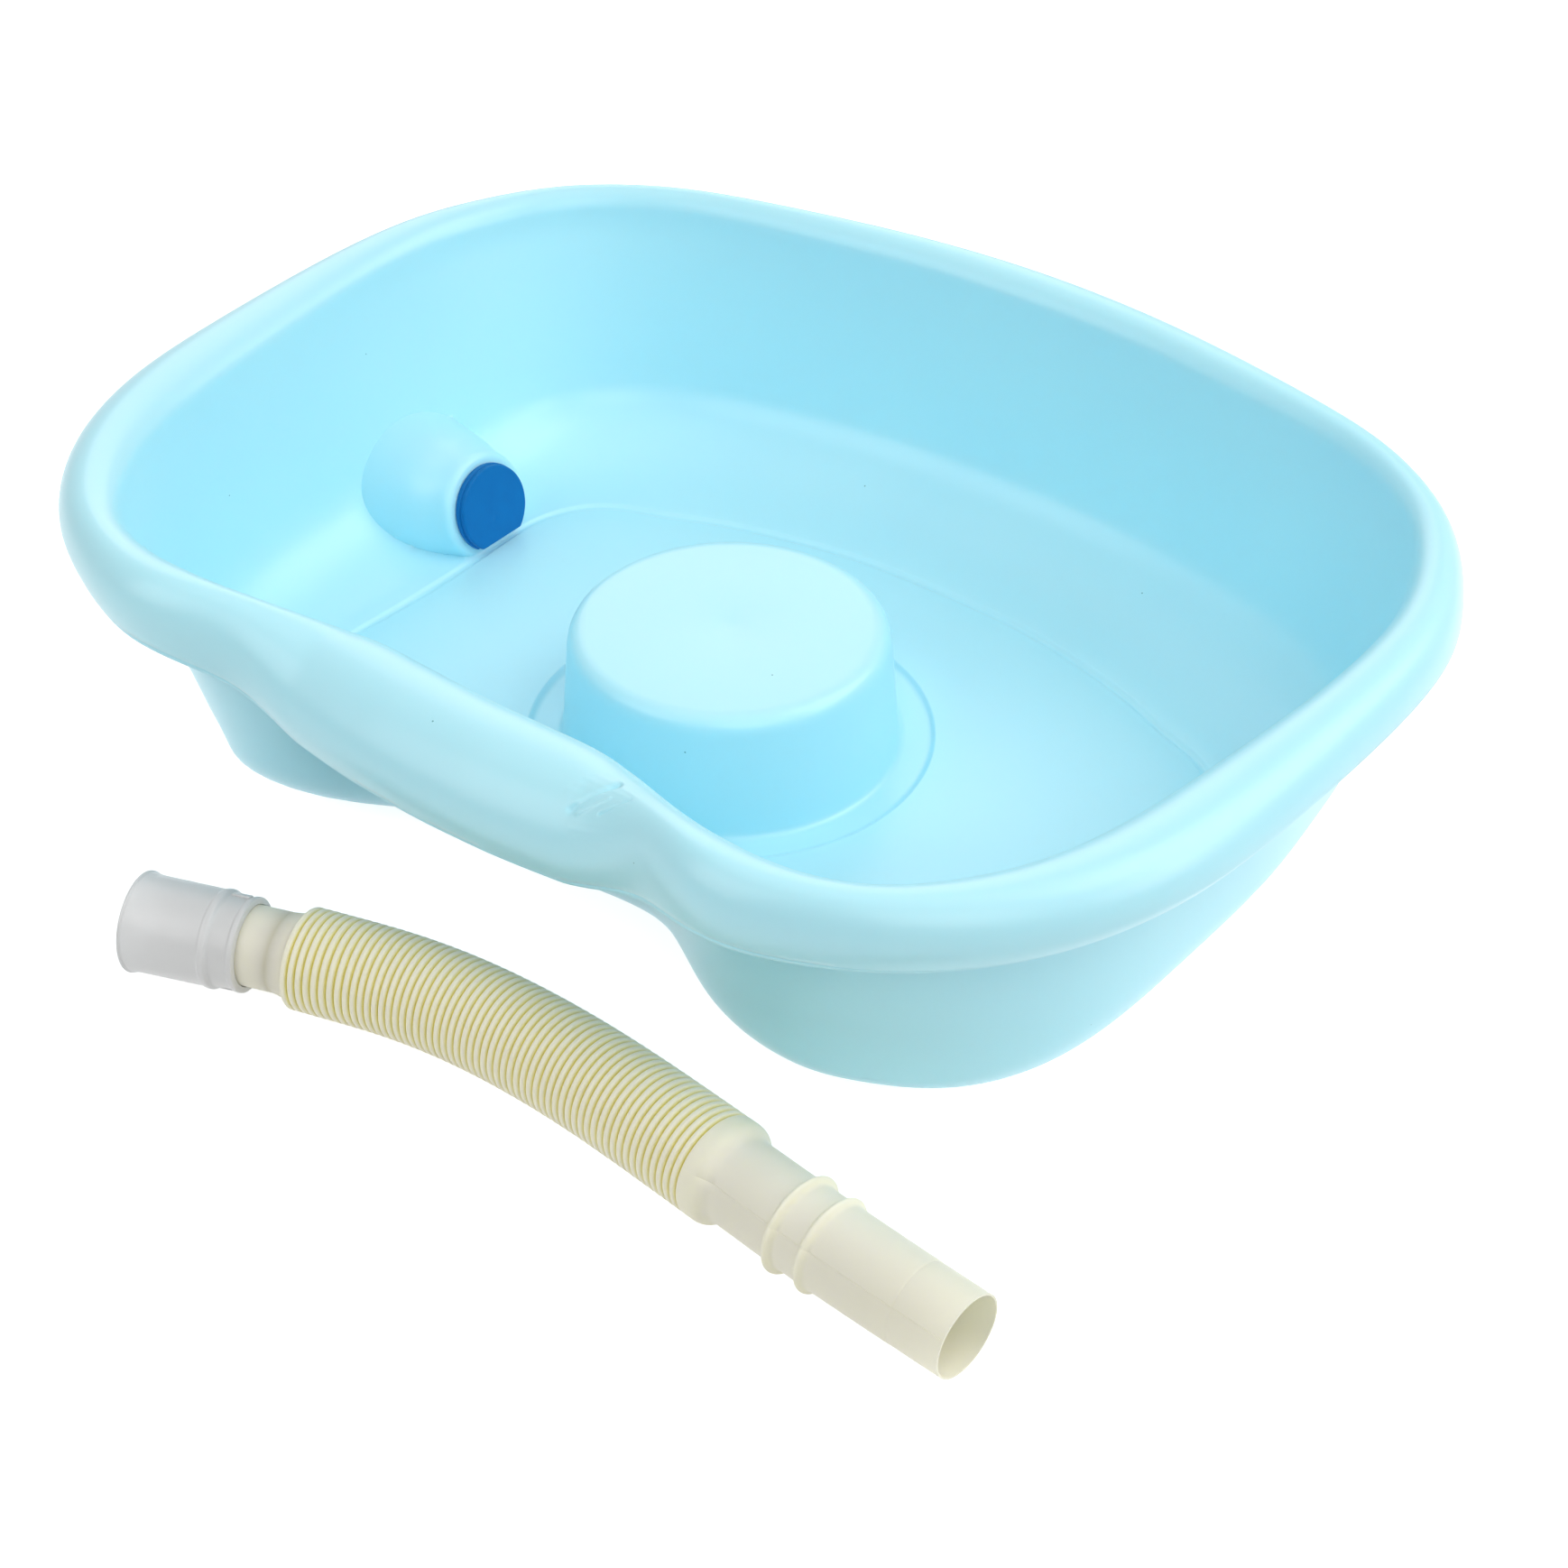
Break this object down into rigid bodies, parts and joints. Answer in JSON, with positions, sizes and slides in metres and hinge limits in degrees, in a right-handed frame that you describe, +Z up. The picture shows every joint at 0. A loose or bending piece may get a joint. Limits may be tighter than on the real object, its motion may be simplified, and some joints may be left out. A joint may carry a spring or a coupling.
{
  "type": "portable shampoo basin",
  "caption": "Rounded tray basin with a dipped neck rest, a raised head rest and an end drain with stopper, and a loose ribbed drain hose with its push-on connector.",
  "frame": {"origin": "centre of the basin's length and width, on the surface that it stands on", "axes": "+X along the basin's long side, away from the drain; -Y towards the neck rest; +Z up"},
  "size_m": [0.6022, 0.5476, 0.134],
  "materials": {
    "basin_plastic": "satin injection-moulded polyethylene",
    "stopper_rubber": "smooth moulded rubber",
    "hose_plastic": "translucent blow-moulded polyethylene with yellow grooves",
    "connector_plastic": "translucent injection-moulded polypropylene"
  },
  "bodies": {
    "basin": {"basin": "basin_plastic"},
    "stopper": {"drain_stopper": "stopper_rubber"},
    "hose": {"drain_hose": "hose_plastic"},
    "connector": {"hose_connector": "connector_plastic"}
  },
  "joints": [
    {"name": "stopper_pull", "type": "slide", "parent": "basin", "child": "stopper", "axis": [0.9744, 0, 0.225], "range_m": [0, 0.04]},
    {"name": "hose_aside", "type": "slide", "parent": "basin", "child": "hose", "axis": [0, -1, 0], "range_m": [0, 0.2]},
    {"name": "connector_pull", "type": "slide", "parent": "hose", "child": "connector", "axis": [-0.934, -0.3564, 0.0263], "range_m": [0, 0.04]}
  ]
}
